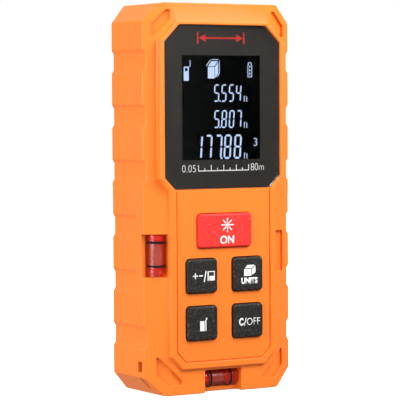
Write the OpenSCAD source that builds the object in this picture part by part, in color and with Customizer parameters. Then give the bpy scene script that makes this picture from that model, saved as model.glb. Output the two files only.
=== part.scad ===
// Hand-held laser distance meter. It stands on its rear end, with the laser end up (+Z) and the keys
// facing -Y. The origin is the middle of the bottom of its box. Millimetres.

/* [Body] */
// Width across the side walls
body_w = 52.0; // [51.8:0.1:52.4]
// Height from the rear end to the laser end
body_h = 118; // [118:0.5:120]
// Depth from the key tops to the battery door
body_d = 26.8; // [26.8:0.1:27]
// Corner chamfer of the outline
corner = 5.6; // [5.4:0.1:5.8]
// Depth of the straight side walls
side_d = 19.1; // [18.9:0.1:19.3]
// Height of the raised rim above the front edge of the side walls
rim_rise = 4.0; // [3.9:0.05:4.1]
// Depth of the side walls that belongs to the front housing
front_strip = 4.6; // [4.4:0.1:4.8]

/* [Grip] */
// Number of grip grooves on each side
groove_count = 6; // [5:1:6]
// Distance from one groove to the next
groove_pitch = 16.6; // [16:0.1:16.8]
// Width of a groove at its mouth
groove_w = 7.2; // [6:0.2:7.6]
// Depth of a groove
groove_d = 0.9; // [0.6:0.1:1]

/* [Window] */
// Half width of the window
window_x = 20.53; // [20.3:0.01:20.6]
// Lower edge of the window
window_z0 = 62.1; // [62:0.1:62.3]
// Upper edge of the window
window_z1 = 111.4; // [111:0.1:111.6]
// Half width of the clear display area
display_x = 13.9; // [13:0.1:14.2]
// Lower edge of the clear display area
display_z0 = 70.75; // [70.5:0.05:71]
// Upper edge of the clear display area
display_z1 = 102.35; // [102:0.05:102.6]

/* [Keys] */
// Travel of every key
key_travel = 0.8; // [0.5:0.1:0.8]
// Height of the key tops above the rim
key_proud = 0.8; // [0.6:0.1:0.9]
// Width of the measure key
measure_w = 19.0; // [18:0.1:19.4]
// Width of the four small keys
key_w = 10.6; // [10:0.1:10.8]
// Height of every key
key_h = 10.3; // [10:0.1:10.5]

/* [Level vials] */
// Radius of a vial
vial_r = 2.65; // [2.5:0.05:2.7]
// Length of a vial
vial_l = 12.6; // [12:0.1:12.6]

/* [Power] */
// Radius of a battery cell
cell_r = 5.25; // [5:0.05:5.25]
// Length of a battery cell without its nub
cell_l = 43.7; // [43:0.1:43.7]

/* [Hidden] */
$fn = 48;

orange = [1.0, 0.55, 0.18];
black = [0.13, 0.13, 0.13];
far = 100;                    // reaches past the body in any direction
gap = 0.2;                    // play round a key or a drop-in piece

// Planes of the body, from the key tops at the front to the back face
half_w = body_w / 2;
key_y = -body_d / 2;
rim_y = key_y + key_proud;
side_y = rim_y + rim_rise;
seam_y = side_y + front_strip;
side_rear_y = side_y + side_d;
back_y = body_d / 2;
panel_y = rim_y + 0.3;        // face of the keypad panel
panel_back_y = panel_y + 2.25;
plateau_y = rim_y + 1.0;      // flat border at the two ends
window_y = rim_y + 0.7;       // face of the window
lens_t = 0.9;
mask_t = 0.15;
ledge_y = window_y + lens_t + mask_t;
flank_slope = 0.36;           // rise of the front flank for each millimetre inboard
back_flat_x = 18.7;           // half width of the flat of the back
wall = 2.0;

// Outline of the raised rim, which is narrower beside the keys than beside the window
rim_window_x = 22.14;
rim_key_x = 18.78;
rim_z0 = 7.65;
rim_z1 = 112.7;
panel_x = 16.73;
panel_z0 = 9.7;
panel_groove_w = 0.3;         // fine groove round the keypad panel
panel_groove_d = 0.35;

// Inner spaces
front_room_x = 17.4;
front_room_z0 = 9.5;
front_room_z1 = 105.6;
rear_room_x = 22.4;
rear_room_z0 = 3.2;
rear_room_z1 = 115.4;
room_back_y = back_y - wall;

// Board
board_y0 = panel_back_y + 3.0;
board_y1 = board_y0 + 1.6;
board_x = 16.9;
board_z0 = 10;
board_z1 = 105;

// Keys: centre of each, in X and Z
key_flange = 0.8;
key_corner = 1.1;
flange_y = panel_back_y + 0.1;
flange_t = 0.8;
stem_r = 1.6;
stem_l = 0.9;
measure_at = [0, 49.35];
reference_at = [-8.15, 35.8];
units_at = [8.15, 35.8];
indirect_at = [-8.15, 21.5];
clear_at = [8.15, 21.5];
keys_at = [measure_at, reference_at, units_at, indirect_at, clear_at];

// Housing screws, in X and Z
screws_at = [[-16, 6.2], [16, 6.2], [-16, 110.4], [16, 110.4]];
screw_r = 1.0;
screw_head_r = 1.9;
screw_seat_y = back_y - 2.8;
boss_r = 2.6;

// Optics: both axes run along Z
bench_x = 13;
bench_y0 = -3.3;
bench_y1 = 10.8;
bench_z0 = 80;
bench_z1 = 113.6;
receiver_at = [-5.2, 4.0];
receiver_r = 6.0;
laser_at = [7.6, 4.0];
laser_r = 3.0;
ear_x = 15;
ear_y = 7.2;
ear_z = 84.5;
end_panel_x = 16;
end_panel_y0 = -2.8;
end_panel_y1 = 10.6;
end_panel_z0 = 116.0;
end_panel_z1 = 117.6;

// Vials: the side one lies along Z, the end one along X
side_vial_at = [-21.6, side_y + 0.2, 42.25];
end_vial_at = [0, side_y + 0.75, 4.1];
ring_gap = 7.1;
liquid_r = 1.95;
liquid_l = 9.6;
plug_l = 1.2;

// Battery bay and its door
door_x = 14;
door_z0 = 11.75;
door_z1 = 66;
door_t = 1.9;
door_gap = 0.3;
hinge_r = 1.15;
hinge_pin_r = 0.8;
hinge_y = back_y - hinge_r;
hinge_z = door_z0 + hinge_r;
cell_x = 5.6;
cell_y = 5.2;
tray_x = 12.6;
tray_y0 = -1.5;
tray_y1 = 10.2;
tray_z0 = 12.3;
tray_z1 = 63.2;
tray_wall = 1.2;
contact_t = 0.4;
contact_z0 = tray_z0 + tray_wall + contact_t;
contact_z1 = tray_z1 - tray_wall - contact_t;

// ---------------------------------------------------------------- shapes

function unit(v) = v / norm(v);
function turn(a) = a > 180 ? a - 360 : a < -180 ? a + 360 : a;

// Arc of radius r that rounds corner c between the points p and n
function corner_arc(p, c, n, r, steps) =
    let (a = unit(p - c), b = unit(n - c), half = acos(a * b) / 2, o = c + unit(a + b) * r / sin(half),
         s = c + a * r / tan(half) - o, e = c + b * r / tan(half) - o, start = atan2(s.y, s.x),
         sweep = turn(atan2(e.y, e.x) - start))
    [for (i = [0:steps]) o + r * [cos(start + sweep * i / steps), sin(start + sweep * i / steps)]];

function rounded(pts, r, steps = 4) =
    let (n = len(pts))
    [for (i = [0:n - 1]) each corner_arc(pts[(i + n - 1) % n], pts[i], pts[(i + 1) % n], r, steps)];

// Closed outline from its right half, given from the bottom up
function both_sides(pts) = concat(pts, [for (i = [len(pts) - 1:-1:0]) [-pts[i].x, pts[i].y]]);

function chamfered(x, z0, z1, low, high) =
    both_sides([[x - low, z0], [x, z0 + low], [x, z1 - high], [x - high, z1]]);

function box_points(x, z) = [[-x, -z], [x, -z], [x, z], [-x, z]];

// Extrudes an outline in X and Z from y0 back to y1
module slab(y0, y1) {
    translate([0, y1, 0]) rotate([90, 0, 0]) linear_extrude(y1 - y0) children();
}

module box(low, high) {
    translate(low) cube(high - low);
}

module rod_y(x, z, y0, y1, r) {
    translate([x, y0, z]) rotate([-90, 0, 0]) cylinder(h = y1 - y0, r = r);
}

module rod_x(x0, x1, y, z, r) {
    translate([x0, y, z]) rotate([0, 90, 0]) cylinder(h = x1 - x0, r = r);
}

module rod_z(at, z0, z1, r) {
    translate([at.x, at.y, z0]) cylinder(h = z1 - z0, r = r);
}

module both_x() {
    children();
    mirror([1, 0, 0]) children();
}

// ---------------------------------------------------------------- body shape

// Section across the body: straight sides, sloping flanks, flat front border and flat back
module section() {
    flank_end_x = half_w - (side_y - plateau_y) / flank_slope;
    polygon([
        [half_w, side_y], [half_w, side_rear_y], [back_flat_x, back_y], [-back_flat_x, back_y],
        [-half_w, side_rear_y], [-half_w, side_y], [-flank_end_x, plateau_y], [flank_end_x, plateau_y]
    ]);
}

module outer_body() {
    intersection() {
        linear_extrude(body_h) section();
        slab(-far, far) polygon(chamfered(half_w, 0, body_h, corner, corner));
    }
}

module rim() {
    slab(rim_y, side_y) polygon(both_sides([
        [rim_key_x - 4.25, rim_z0], [rim_key_x, rim_z0 + 4.25], [rim_key_x, 61.5], [rim_window_x, 65.3],
        [rim_window_x, rim_z1 - 6.1], [rim_window_x - 6.1, rim_z1]
    ]));
}

module window_outline(play = 0) {
    polygon(rounded(both_sides([
        [window_x - 3.6 + play, window_z0 - play], [window_x + play, window_z0 + 3.6 - play],
        [window_x + play, window_z1 - 5.2 + play], [window_x - 5.2 + play, window_z1 + play]
    ]), 0.5));
}

// One groove cut into the wall at +X, between y0 and y1
module groove(z, y0, y1) {
    half = groove_w / 2;
    slab(y0, y1) polygon([
        [half_w + 1, z - half - 1], [half_w, z - half], [half_w - groove_d, z - half + 1.1],
        [half_w - groove_d, z + half - 1.1], [half_w, z + half], [half_w + 1, z + half + 1]
    ]);
}

// Grooves of one housing; the ones beside the vial stop at the seam
module grooves(front) {
    vial_side_skips = [1, 2];
    for (i = [0:groove_count - 1]) {
        z = body_h / 2 + (i - (groove_count - 1) / 2) * groove_pitch;
        groove(z, front ? -far : seam_y, front ? seam_y : far);
        if (!front || len(search(i, vial_side_skips)) == 0)
            mirror([1, 0, 0]) groove(z, front ? -far : seam_y, front ? seam_y : far);
    }
}

// Shallow recesses beside the four corners, laid along the flank
module corner_recesses() {
    depth = 0.9;
    top = [[17.9, 113.1], [17.9, 115.8], [19.3, 115.8], [23.4, 111.7], [23.4, 108.3], [22.7, 108.3]];
    low = [[14.4, 3.1], [14.4, 4.3], [21.8, 11.7], [22.5, 11.7], [22.5, 6.5], [19.1, 3.1]];
    both_x() intersection() {
        slab(-far, side_y) union() {
            polygon(rounded(top, 0.3));
            polygon(rounded(low, 0.3));
        }
        translate([0, 0, -far]) linear_extrude(3 * far) polygon([
            [half_w, side_y + depth - 2 * rim_rise], [half_w, side_y + depth],
            [half_w - (side_y - plateau_y) / flank_slope, plateau_y + depth], [0, plateau_y + depth],
            [0, side_y - 2 * rim_rise]
        ]);
    }
}

// Pocket for the side vial; its inner wall is flush with the rim, and its outer lip is lower, so the
// vial also shows from the side
module side_vial_pocket() {
    at = side_vial_at;
    half = vial_l / 2 + 0.15;
    reach = vial_r + 0.15;
    slab(-far, at.y + reach) polygon([
        [at.x - reach, at.z - half], [-rim_key_x, at.z - half],
        [-rim_key_x, at.z + half], [at.x - reach, at.z + half]
    ]);
    slab(-far, side_y + 1.6) polygon([
        [-half_w - 1, at.z - half], [at.x, at.z - half], [at.x, at.z + half], [-half_w - 1, at.z + half]
    ]);
}

// The matching blank recess on the other flank
module blank_recess() {
    at = side_vial_at;
    slab(-far, side_y - 0.3) polygon(rounded([
        [rim_key_x + 0.3, at.z - vial_l / 2], [22.9, at.z - vial_l / 2],
        [22.9, at.z + vial_l / 2], [rim_key_x + 0.3, at.z + vial_l / 2]
    ], 0.5));
}

// Pocket for the end vial, open towards the rear end above a lower lip
module end_vial_pocket() {
    at = end_vial_at;
    half = vial_l / 2 + 0.2;
    slab(-far, side_y + 0.2) polygon(rounded([[-half, -1], [half, -1], [half, 7], [-half, 7]], 0.4));
    slab(-far, at.y + vial_r + 0.3)
        polygon(rounded([[-half, 1.35], [half, 1.35], [half, 6.95], [-half, 6.95]], 0.4));
}

// Strap hole: a slot in the side, a slit in the corner chamfer, and the room that joins them
module strap_hole() {
    slab(seam_y - 3.2, seam_y - 0.8) polygon(rounded(
        [[-half_w - 1, 7.2], [-21.5, 7.2], [-21.5, 10.3], [-half_w - 1, 10.3]], 0.2));
    slab(seam_y - 2.6, seam_y - 1.4)
        polygon([[-26.4, 4.6], [-22.9, 1.1], [-20.4, 3.6], [-20.6, 6.2], [-22.7, 8.3]]);
    box([-23.6, seam_y - 3.2, 4.6], [-20.5, seam_y - 0.8, 8.6]);
}

// ---------------------------------------------------------------- housings

module key_outline(w, play) {
    polygon(rounded(box_points(w / 2 + play, key_h / 2 + play), key_corner + play));
}

module at_key(at) {
    translate([at.x, 0, at.y]) children();
}

module front_housing() {
    color(orange) difference() {
        union() {
            difference() {
                intersection() {
                    union() {
                        outer_body();
                        rim();
                    }
                    slab(-far, seam_y) translate([-far, -far]) square(3 * far);
                }
                // room behind the keypad panel and the window ledge
                slab(panel_back_y, far)
                    polygon(chamfered(front_room_x, front_room_z0, front_room_z1, 2, 2));
            }
            // posts for the board
            for (at = board_screws_at) rod_y(at.x, at.y, panel_back_y - 0.1, board_y0, 1.9);
        }
        slab(-far, ledge_y) window_outline(0.1);
        slab(-far, panel_y) polygon(chamfered(panel_x, panel_z0, window_z0 + 0.4, 3.1, 0.5));
        slab(panel_y - 1, panel_y + panel_groove_d) difference() {
            polygon(chamfered(panel_x, panel_z0, window_z0 - 0.8, 3.1, 0.1));
            polygon(chamfered(panel_x - panel_groove_w, panel_z0 + panel_groove_w, window_z0, 3, 0.1));
        }
        box([-15.4, -far, 69.2], [15.4, panel_back_y + 1, 103.9]);
        at_key(measure_at) slab(-far, far) key_outline(measure_w, gap);
        for (i = [1:4]) at_key(keys_at[i]) slab(-far, far) key_outline(key_w, gap);
        grooves(true);
        corner_recesses();
        side_vial_pocket();
        blank_recess();
        end_vial_pocket();
        strap_hole();
        rod_x(lanyard_bar_x0 - 0.02, lanyard_bar_x1 + 0.02,
            lanyard_bar_y, lanyard_bar_z, lanyard_bar_r + 0.02);
        for (at = screws_at) rod_y(at.x, at.y, seam_y - 6.2, far, screw_r + 0.02);
        for (at = board_screws_at) rod_y(at.x, at.y, panel_back_y + 0.4, board_y0 + 1, 0.82);
    }
}

module rear_housing() {
    color(orange) difference() {
        union() {
            difference() {
                intersection() {
                    outer_body();
                    slab(seam_y, far) translate([-far, -far]) square(3 * far);
                }
                slab(-far, room_back_y)
                    polygon(chamfered(rear_room_x, rear_room_z0, rear_room_z1, 4, 4));
            }
            for (at = screws_at) rod_y(at.x, at.y, seam_y, room_back_y + 0.1, boss_r);
        }
        grooves(false);
        // end panel seat and the way through for the two beams
        translate([0, 0, end_panel_z0]) linear_extrude(far) end_panel_outline(0.1);
        box([-12.4, -2.4, rear_room_z1 - 1], [12.4, end_panel_y1 - 0.2, end_panel_z0 + 1]);
        // battery opening, hinge pockets and thumb notch
        box([-door_x - door_gap, room_back_y - 1, door_z0 - door_gap],
            [door_x + door_gap, far, door_z1 + door_gap]);
        rod_x(-door_x - 1.4, door_x + 1.4, hinge_y, hinge_z, hinge_pin_r + 0.05);
        slab(back_y - 0.8, far) translate([0, door_z1 + 1]) circle(r = 4.5);
        // label recess
        slab(back_y - 0.2, far) polygon(rounded([[-15, 75], [15, 75], [15, 100], [-15, 100]], 1));
        for (at = screws_at) {
            rod_y(at.x, at.y, -far, far, screw_r + 0.2);
            rod_y(at.x, at.y, screw_seat_y, far, screw_head_r + 0.1);
        }
        both_x() rod_y(ear_x, ear_z, room_back_y - 1, room_back_y + 1.3, 0.92);
    }
}

// ---------------------------------------------------------------- display

module window_lens() {
    color([0.1, 0.1, 0.12]) slab(window_y, window_y + lens_t) window_outline();
}

module window_mask() {
    color(black) slab(window_y + lens_t, ledge_y) difference() {
        window_outline();
        translate([0, (display_z0 + display_z1) / 2])
            square([2 * display_x, display_z1 - display_z0], center = true);
    }
}

lcd_z0 = 69.3;
lcd_z1 = 103.8;
lcd_y = ledge_y + 0.05;
lcd_t = 1.6;

module lcd_panel() {
    color([0.05, 0.06, 0.08]) box([-15.3, lcd_y, lcd_z0], [15.3, lcd_y + lcd_t, lcd_z1]);
}

module lcd_backlight() {
    color("white") box([-15, lcd_y + lcd_t, lcd_z0 + 0.6], [15, board_y0 - 0.3, lcd_z1 - 0.6]);
}

module lcd_frame() {
    color([0.9, 0.9, 0.88]) difference() {
        box([-16.2, panel_back_y + 0.05, lcd_z0 - 1.5], [16.2, board_y0, lcd_z1 + 0.9]);
        box([-15.35, -far, lcd_z0 - 0.05], [15.35, far, lcd_z1 + 0.05]);
        box([-9.5, panel_back_y + 0.9, lcd_z0 - 2], [9.5, panel_back_y + 1.4, lcd_z0]);
    }
}

module lcd_ribbon() {
    y = panel_back_y + 1.1;
    color("orange") {
        box([-9, y, 65.8], [9, y + 0.12, lcd_z0 - 0.02]);
        box([-9, y + 0.12, 65.8], [9, board_y0, 65.92]);
    }
}

// ---------------------------------------------------------------- keys

// Cap, flange that stops it behind the panel, and stem that presses the dome
module key(at, w) {
    at_key(at) {
        slab(key_y, flange_y) key_outline(w, 0);
        slab(flange_y, flange_y + flange_t) key_outline(w, key_flange);
        rod_y(0, 0, flange_y + flange_t, flange_y + flange_t + stem_l, stem_r);
    }
}

module measure_button() {
    color([0.9, 0.15, 0.12]) key(measure_at, measure_w);
}

module reference_button() {
    color(black) key(reference_at, key_w);
}

module units_button() {
    color(black) key(units_at, key_w);
}

module indirect_button() {
    color(black) key(indirect_at, key_w);
}

module clear_button() {
    color(black) key(clear_at, key_w);
}

web_y = board_y0 - 1.15;

// Silicone sheet with a hole for each stem, on a wall that stands on the board
module keypad_web() {
    color([0.75, 0.75, 0.75]) difference() {
        box([-16.4, web_y, 14], [16.4, board_y0, 57]);
        box([-15.4, web_y + 0.3, 15], [15.4, far, 56]);
        for (at = keys_at) rod_y(at.x, at.y, -far, far, stem_r + 0.5);
    }
}

module key_domes() {
    color("silver") for (at = keys_at) rod_y(at.x, at.y, board_y0 - 0.35, board_y0, 2.5);
}

// ---------------------------------------------------------------- electronics

board_screws_at = [[-14.8, 61.2], [14.8, 61.2], [-14.8, 11.6], [14.8, 11.6]];

module main_board() {
    color([0.1, 0.35, 0.18]) difference() {
        slab(board_y0, board_y1)
            polygon(chamfered(board_x, board_z0, board_z1, 1.9, 1.9));
        for (at = board_screws_at) rod_y(at.x, at.y, -far, far, 0.95);
    }
}

module board_chips() {
    color(black) {
        box([-12, board_y1, 66], [-2, board_y1 + 1.2, 76]);
        box([-4, board_y1, 24], [3, board_y1 + 1.1, 29]);
        box([-12, board_y1, 44], [-6, board_y1 + 1.5, 50]);
        box([6, board_y1, 50], [9, board_y1 + 0.8, 53]);
        box([4, board_y1, 90], [11, board_y1 + 1.0, 97]);
        box([-11, board_y1, 88], [-7.8, board_y1 + 0.8, 93]);
    }
}

module buzzer() {
    color(black) difference() {
        rod_y(9, 72.5, board_y1, board_y1 + 2.6, 5);
        rod_y(9, 72.5, board_y1 + 1.6, far, 1);
    }
}

// Cross-head screw: the head's seat is at seat_y, and its top and tip lie on either side of it
module small_screw(at, seat_y, top_y, tip_y, shaft_r, head_r) {
    recess_y = (seat_y + top_y) / 2;
    rod_y(at.x, at.y, min(seat_y, tip_y), max(seat_y, tip_y), shaft_r);
    difference() {
        rod_y(at.x, at.y, min(seat_y, top_y), max(seat_y, top_y), head_r);
        for (w = [0.4, head_r * 1.2])
            translate([
                at.x - w / 2, min(recess_y, 2 * top_y - recess_y), at.y - head_r * 1.2 / 2 + w / 2 - 0.2])
                cube([w, 2 * abs(top_y - recess_y), head_r * 1.2 - w + 0.4]);
    }
}

module board_screws() {
    color("silver") for (at = board_screws_at)
        small_screw(at, board_y1, board_y1 + 0.9, board_y0 - 2.4, 0.8, 1.6);
}

module housing_screws() {
    color([0.2, 0.2, 0.2]) for (at = screws_at)
        small_screw(at, screw_seat_y, screw_seat_y + 1.5, seam_y - 5.8, screw_r, screw_head_r);
}

module rating_label() {
    color([0.82, 0.82, 0.8]) slab(back_y - 0.2, back_y - 0.05)
        polygon(rounded([[-14.8, 75.2], [14.8, 75.2], [14.8, 99.8], [-14.8, 99.8]], 0.9));
}

// ---------------------------------------------------------------- optics

module end_panel_outline(play) {
    polygon(rounded([
        [-end_panel_x - play, end_panel_y0 - play], [end_panel_x + play, end_panel_y0 - play],
        [end_panel_x + play, end_panel_y1 + play], [-end_panel_x - play, end_panel_y1 + play]
    ], 2));
}

module end_panel() {
    color(black) difference() {
        translate([0, 0, end_panel_z0]) linear_extrude(end_panel_z1 - end_panel_z0) end_panel_outline(0);
        rod_z(receiver_at, 0, far * 2, receiver_r - 0.5);
        rod_z(laser_at, 0, far * 2, 1.9);
        translate([receiver_at.x, receiver_at.y, end_panel_z1 - 0.7])
            cylinder(h = 1, r1 = receiver_r - 0.5, r2 = receiver_r + 0.5);
    }
}

module optical_bench() {
    color([0.55, 0.56, 0.58]) difference() {
        union() {
            box([-bench_x, bench_y0, bench_z0], [bench_x, bench_y1, bench_z1]);
            box([-ear_x - 2.5, ear_y, ear_z - 2.8], [ear_x + 2.5, bench_y1, ear_z + 2.8]);
        }
        rod_z(receiver_at, 87, far * 2, receiver_r + 0.1);
        rod_z(receiver_at, 0, far * 2, 2.5);
        rod_z(laser_at, 92, far * 2, laser_r + 0.05);
        rod_z(laser_at, 0, far * 2, 2.0);
        both_x() rod_y(ear_x, ear_z, -far, far, 1.0);
        // weight saved between the two tubes
        box([2.6, bench_y0 - 1, 83], [12, -1, 111]);
    }
}

// Plano-convex lens: a disc under a dome of one sphere
module receiver_lens() {
    edge = 1.2;
    sphere_r = 14;
    dome = sphere_r - sqrt(sphere_r * sphere_r - receiver_r * receiver_r);
    color([0.6, 0.75, 0.85, 0.6]) translate([receiver_at.x, receiver_at.y, bench_z1 - edge - 0.6])
        intersection() {
            cylinder(h = edge + dome, r = receiver_r);
            translate([0, 0, edge + dome - sphere_r]) sphere(r = sphere_r);
        }
}

module lens_ring() {
    color(black) difference() {
        rod_z(receiver_at, bench_z1, end_panel_z0, receiver_r + 0.3);
        rod_z(receiver_at, 0, far * 2, receiver_r - 0.5);
    }
}

module laser_window() {
    color([0.6, 0.75, 0.85, 0.6]) rod_z(laser_at, end_panel_z0 - 0.9, end_panel_z0, 2.6);
}

module laser_barrel() {
    color([0.8, 0.65, 0.3]) difference() {
        rod_z(laser_at, 96, 110, laser_r);
        rod_z(laser_at, 0, far * 2, 1.8);
    }
}

module laser_lens() {
    color([0.6, 0.75, 0.85, 0.6]) rod_z(laser_at, 110, 111.6, laser_r - 0.1);
}

module laser_diode() {
    color("gold") {
        rod_z(laser_at, 94.8, 96, 2.8);
        rod_z(laser_at, 96, 98.4, 1.7);
        for (a = [90, 210, 330])
            rod_z(laser_at + [cos(a), sin(a)], 88, 94.8, 0.22);
    }
}

module light_filter() {
    color([0.5, 0.05, 0.1]) rod_z(receiver_at, 84, 84.8, 2.45);
}

module photodiode() {
    color("gold") rod_z(receiver_at, 79.6, 82.2, 2.3);
}

module sensor_board() {
    color([0.1, 0.35, 0.18]) box([-12.4, bench_y0, 78.4], [2.4, bench_y1, 79.6]);
}

module bench_screws() {
    color("silver") both_x() small_screw([ear_x, ear_z], ear_y, ear_y - 1, room_back_y + 1, 0.9, 1.7);
}

// ---------------------------------------------------------------- level vials

// Parts of one vial, lying along Z about its own centre
module vial_tube() {
    difference() {
        translate([0, 0, -vial_l / 2]) cylinder(h = vial_l, r = vial_r);
        translate([0, 0, -vial_l / 2 + 1.2]) cylinder(h = vial_l, r = liquid_r);
    }
}

module vial_liquid() {
    bubble_r = 1.25;
    bubble_l = 3.4;
    translate([0, 0, -vial_l / 2 + 1.2]) difference() {
        cylinder(h = liquid_l, r = liquid_r);
        translate([0, -0.6, vial_l / 2 - 1.2 - bubble_l / 2]) {
            cylinder(h = bubble_l, r = bubble_r);
            sphere(r = bubble_r);
            translate([0, 0, bubble_l]) sphere(r = bubble_r);
        }
    }
}

module vial_plug() {
    translate([0, 0, vial_l / 2 - plug_l - 0.3]) cylinder(h = plug_l, r = liquid_r);
}

module vial_rings(rise) {
    for (side = [-1, 1]) translate([0, 0, side * ring_gap / 2 + rise - 0.3]) difference() {
        cylinder(h = 0.6, r = vial_r + 0.08);
        translate([0, 0, -1]) cylinder(h = 3, r = vial_r);
    }
}

module at_end_vial() {
    translate(end_vial_at) rotate([0, -90, 0]) children();
}

module side_vial_tube() {
    color([0.9, 0.3, 0.3, 0.6]) translate(side_vial_at) vial_tube();
}

module side_vial_liquid() {
    color([0.75, 0.05, 0.08]) translate(side_vial_at) vial_liquid();
}

module side_vial_plug() {
    color([0.8, 0.2, 0.2]) translate(side_vial_at) vial_plug();
}

module side_vial_rings() {
    color(black) translate(side_vial_at) vial_rings(0.45);
}

module end_vial_tube() {
    color([0.9, 0.3, 0.3, 0.6]) at_end_vial() vial_tube();
}

module end_vial_liquid() {
    color([0.75, 0.05, 0.08]) at_end_vial() vial_liquid();
}

module end_vial_plug() {
    color([0.8, 0.2, 0.2]) at_end_vial() vial_plug();
}

module end_vial_rings() {
    color(black) at_end_vial() vial_rings(0);
}

// ---------------------------------------------------------------- power

module battery_tray() {
    w = tray_wall;
    color(black) difference() {
        box([-tray_x, tray_y0, tray_z0], [tray_x, tray_y1, tray_z1]);
        both_x() box([0.25, tray_y0 + w, tray_z0 + w], [tray_x - w, far, tray_z1 - w]);
        box([-1, tray_y0 + w, tray_z0 + w], [1, far, tray_z0 + w + 1]);
    }
}

// Puts a piece on one cell's axis, and again upside down on the other's
module for_each_cell() {
    translate([cell_x, cell_y, 0]) children();
    translate([-cell_x, cell_y, contact_z0 + contact_z1]) rotate([180, 0, 0]) children();
}

module battery_cells() {
    nub_l = 0.8;
    color([0.25, 0.3, 0.35]) for_each_cell() {
        translate([0, 0, contact_z1 - 0.1 - nub_l - cell_l]) cylinder(h = cell_l, r = cell_r);
        translate([0, 0, contact_z1 - 0.1 - nub_l]) cylinder(h = nub_l, r = 1.9);
    }
}

// Tube of radius r swept along points, with closed ends
module sweep(path, r, sides) {
    n = len(path);
    rings = [for (i = [0:n - 1])
        let (t = unit(path[min(i + 1, n - 1)] - path[max(i - 1, 0)]),
            u = unit(cross(t, [0, 0, 1])), v = cross(u, t))
        for (k = [0:sides - 1]) path[i] + r * (cos(360 * k / sides) * u + sin(360 * k / sides) * v)];
    walls = [for (i = [0:n - 2], k = [0:sides - 1]) let (j = (k + 1) % sides)
        [i * sides + k, i * sides + j, (i + 1) * sides + j, (i + 1) * sides + k]];
    ends = [[for (k = [sides - 1:-1:0]) k], [for (k = [0:sides - 1]) (n - 1) * sides + k]];
    polyhedron(rings, concat(walls, ends));
}

// Conical coil under each negative end
module battery_springs() {
    wire_r = 0.3;
    turns = 3;
    steps = 16;
    z0 = contact_z0 + 0.35;
    z1 = contact_z1 - 0.1 - 0.8 - cell_l - 0.35;
    color("silver") for_each_cell() sweep([
        for (i = [0:turns * steps]) let (f = i / (turns * steps), a = 360 * i / steps)
        [(3.7 - 1.9 * f) * cos(a), (3.7 - 1.9 * f) * sin(a), z0 + (z1 - z0) * f]], wire_r, 8);
}

module battery_contacts() {
    color("silver") {
        // one strip joins the cells at the foot, through the notch in the divider
        box([-10, 1.5, contact_z0 - contact_t], [10, 9.5, contact_z0]);
        both_x() box([1.5, 1.5, contact_z1], [10, 9.5, contact_z1 + contact_t]);
    }
}

// Door: plate with a round lower edge, two end pins, a sprung tongue and a thumb step
module battery_door() {
    tongue_x = 6;
    slot_w = 0.8;
    color(orange) difference() {
        union() {
            box([-door_x, back_y - door_t, hinge_z], [door_x, back_y, door_z1]);
            rod_x(-door_x, door_x, hinge_y, hinge_z, hinge_r);
            rod_x(-door_x - 1.2, door_x + 1.2, hinge_y, hinge_z, hinge_pin_r);
            // latch bump on the tongue
            rod_x(-tongue_x + 1, tongue_x - 1, back_y - 1.4, door_z1 - 0.15, 0.35);
        }
        both_x() box([tongue_x, -far, door_z1 - 9], [tongue_x + slot_w, far, door_z1 + 1]);
        for (i = [0:4])
            box([-tongue_x + 1.5, back_y - 0.4, door_z1 - 8 + i * 1.3],
                [tongue_x - 1.5, far, door_z1 - 7.4 + i * 1.3]);
    }
}

module door_foam() {
    color([0.3, 0.3, 0.3]) box([-9, back_y - door_t - 0.5, 20], [9, back_y - door_t, 54]);
}

// ---------------------------------------------------------------- strap bar

lanyard_bar_r = 0.6;
lanyard_bar_x0 = -24.6;
lanyard_bar_x1 = -19.5;
lanyard_bar_y = seam_y - 1.75;
lanyard_bar_z = 8.6;

module lanyard_bar() {
    color("silver") rod_x(lanyard_bar_x0, lanyard_bar_x1, lanyard_bar_y, lanyard_bar_z, lanyard_bar_r);
}

// ---------------------------------------------------------------- assembly

front_housing();
rear_housing();
window_lens();
window_mask();
lcd_panel();
lcd_backlight();
lcd_frame();
lcd_ribbon();
measure_button();
reference_button();
units_button();
indirect_button();
clear_button();
keypad_web();
key_domes();
main_board();
board_chips();
buzzer();
board_screws();
end_panel();
optical_bench();
receiver_lens();
lens_ring();
laser_window();
laser_barrel();
laser_lens();
laser_diode();
light_filter();
photodiode();
sensor_board();
bench_screws();
side_vial_tube();
side_vial_liquid();
side_vial_plug();
side_vial_rings();
end_vial_tube();
end_vial_liquid();
end_vial_plug();
end_vial_rings();
battery_tray();
battery_cells();
battery_springs();
battery_contacts();
battery_door();
door_foam();
housing_screws();
rating_label();
lanyard_bar();
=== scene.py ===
import math

import bmesh
import bpy
from mathutils import Matrix, Vector


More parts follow.
